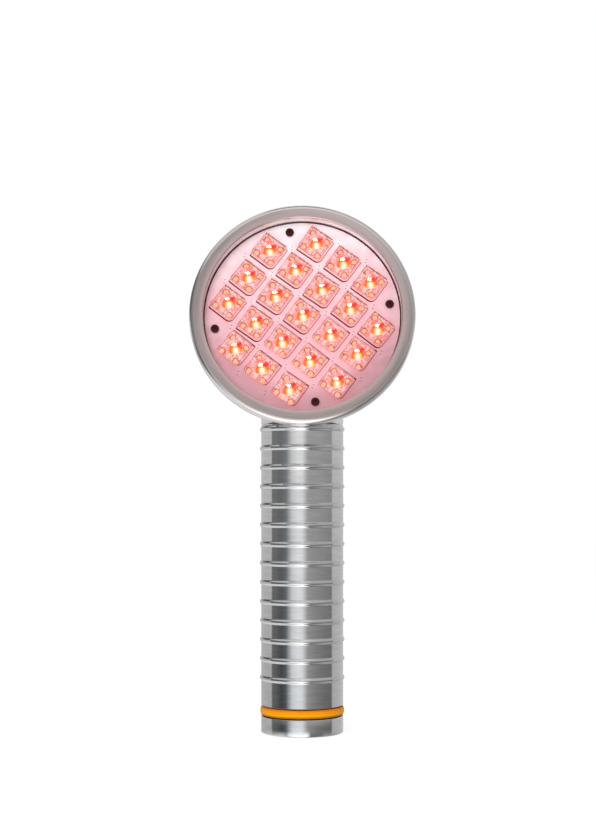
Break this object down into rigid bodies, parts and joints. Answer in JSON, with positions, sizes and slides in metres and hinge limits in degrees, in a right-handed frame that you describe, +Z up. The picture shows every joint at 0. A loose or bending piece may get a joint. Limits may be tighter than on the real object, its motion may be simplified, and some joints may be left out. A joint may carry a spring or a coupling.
{
  "type": "led light therapy device",
  "caption": "Hand-held LED light therapy lamp: a round metal head with a grid of clear square LEDs, tilted back on a ribbed tubular handle with a seal ring and a screwed end cap.",
  "frame": {"origin": "middle of the end cap's lower face, on which the lamp stands upright", "axes": "+Z up along the handle's axis, -Y towards the side the LEDs shine to, +X to the right as seen from the front"},
  "size_m": [0.0674, 0.037, 0.1604],
  "materials": {
    "satin_ring": "turned and circularly brushed, satin",
    "satin_shell": "turned, satin",
    "ribbed_tube": "turned, semi-polished with fine turning lines",
    "cap_metal": "turned, semi-polished with fine turning lines",
    "orange_rubber": "smooth moulded",
    "white_board": "white solder mask with thin printed outlines",
    "clear_epoxy": "clear, glossy",
    "black_steel": "black oxide",
    "black_rubber": "matte",
    "brass": "bare",
    "blue_wrap": "shrink film",
    "grey_liner": "moulded",
    "spring_steel": "drawn wire",
    "green_board": "solder mask",
    "black_moulding": "moulded",
    "ferrite": "pressed ferrite",
    "bare_can": "drawn can",
    "cream_plastic": "moulded",
    "soft_button": "soft touch",
    "red_insulation": "extruded",
    "black_insulation": "extruded"
  },
  "bodies": {
    "lamp": {"head_shell": "satin_shell", "bezel_ring": "satin_ring", "bezel_gasket": "black_rubber", "led_board": "white_board", "board_screw_1": "black_steel", "board_screw_2": "black_steel", "board_screw_3": "black_steel", "board_screw_4": "black_steel", "led_01": "clear_epoxy", "led_02": "clear_epoxy", "led_03": "clear_epoxy", "led_04": "clear_epoxy", "led_05": "clear_epoxy", "led_06": "clear_epoxy", "led_07": "clear_epoxy", "led_08": "clear_epoxy", "led_09": "clear_epoxy", "led_10": "clear_epoxy", "led_11": "clear_epoxy", "led_12": "clear_epoxy", "led_13": "clear_epoxy", "led_14": "clear_epoxy", "led_15": "clear_epoxy", "led_16": "clear_epoxy", "led_17": "clear_epoxy", "led_18": "clear_epoxy", "led_19": "clear_epoxy", "led_20": "clear_epoxy", "led_21": "clear_epoxy", "handle_tube": "ribbed_tube", "battery_cell": "blue_wrap", "cell_sleeve": "grey_liner", "contact_spring": "spring_steel", "contact_plate": "brass", "contact_carrier": "black_moulding", "driver_board": "green_board", "controller_chip": "black_moulding", "power_inductor": "ferrite", "capacitor_lower": "bare_can", "capacitor_upper": "bare_can", "charge_socket": "black_moulding", "switch_body": "black_moulding", "button_collar": "black_rubber", "lead_red": "red_insulation", "lead_black": "black_insulation"},
    "button": {"power_button": "soft_button", "switch_plunger": "cream_plastic"},
    "seal": {"seal_ring": "orange_rubber"},
    "cap": {"end_cap": "cap_metal", "cap_contact": "brass"}
  },
  "joints": [
    {"name": "button_press", "type": "slide", "parent": "lamp", "child": "button", "axis": [0, -1, 0], "range_m": [0, 0.0005], "stiffness_N_per_m": 800},
    {"name": "seal_travel", "type": "slide", "parent": "lamp", "child": "seal", "axis": [0, 0, -1], "range_m": [0, 0.0045]},
    {"name": "cap_turn", "type": "hinge", "parent": "seal", "child": "cap", "pos_m": [0, 0, 0], "axis": [0, 0, -1], "range_deg": [0, 1080]}
  ],
  "couplings": [
    {"joint": "seal_travel", "follows": "cap_turn", "m_per_rad": 0.00023873}
  ]
}
